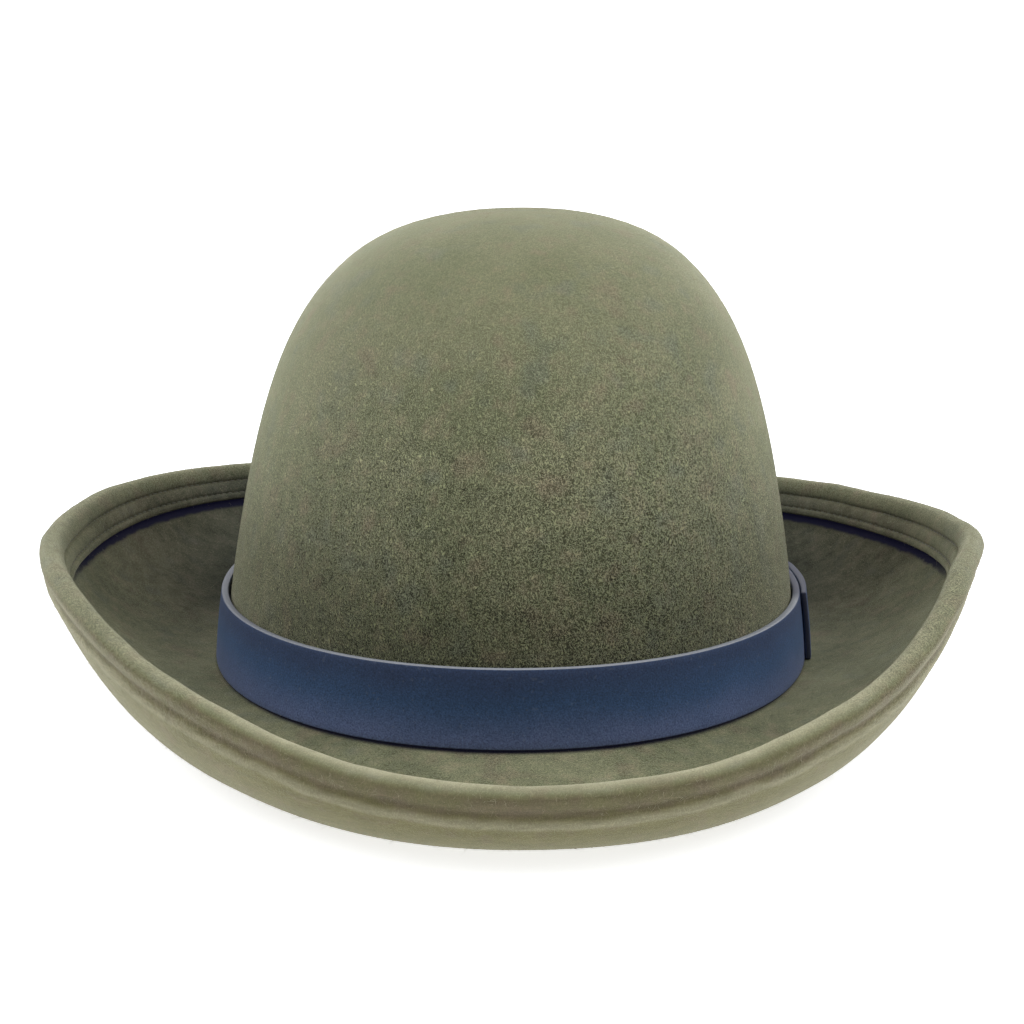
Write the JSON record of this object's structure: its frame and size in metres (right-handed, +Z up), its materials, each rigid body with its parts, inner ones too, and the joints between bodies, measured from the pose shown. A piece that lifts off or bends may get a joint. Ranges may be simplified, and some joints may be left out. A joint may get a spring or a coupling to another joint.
{
  "type": "alpine hat",
  "caption": "Round open-crown felt hat with a brim turned up all round, a stitched overwelt edge and a plain overlapping leather band",
  "frame": {"origin": "on the table that the hat rests on, below the middle of the brim's outline, which is also below the middle of the head opening", "axes": "+Z up from the table, -Y is the way the front of the hat faces, +X is the wearer's left where the band laps"},
  "size_m": [0.2781, 0.3253, 0.1323],
  "materials": {
    "olive_felt": "dense olive green felt with a short soft nap",
    "navy_leather": "matte navy leather with a fine grain and paler cut edges"
  },
  "bodies": {
    "root": {"felt_cap": "olive_felt", "leather_band": "navy_leather"}
  },
  "joints": []
}
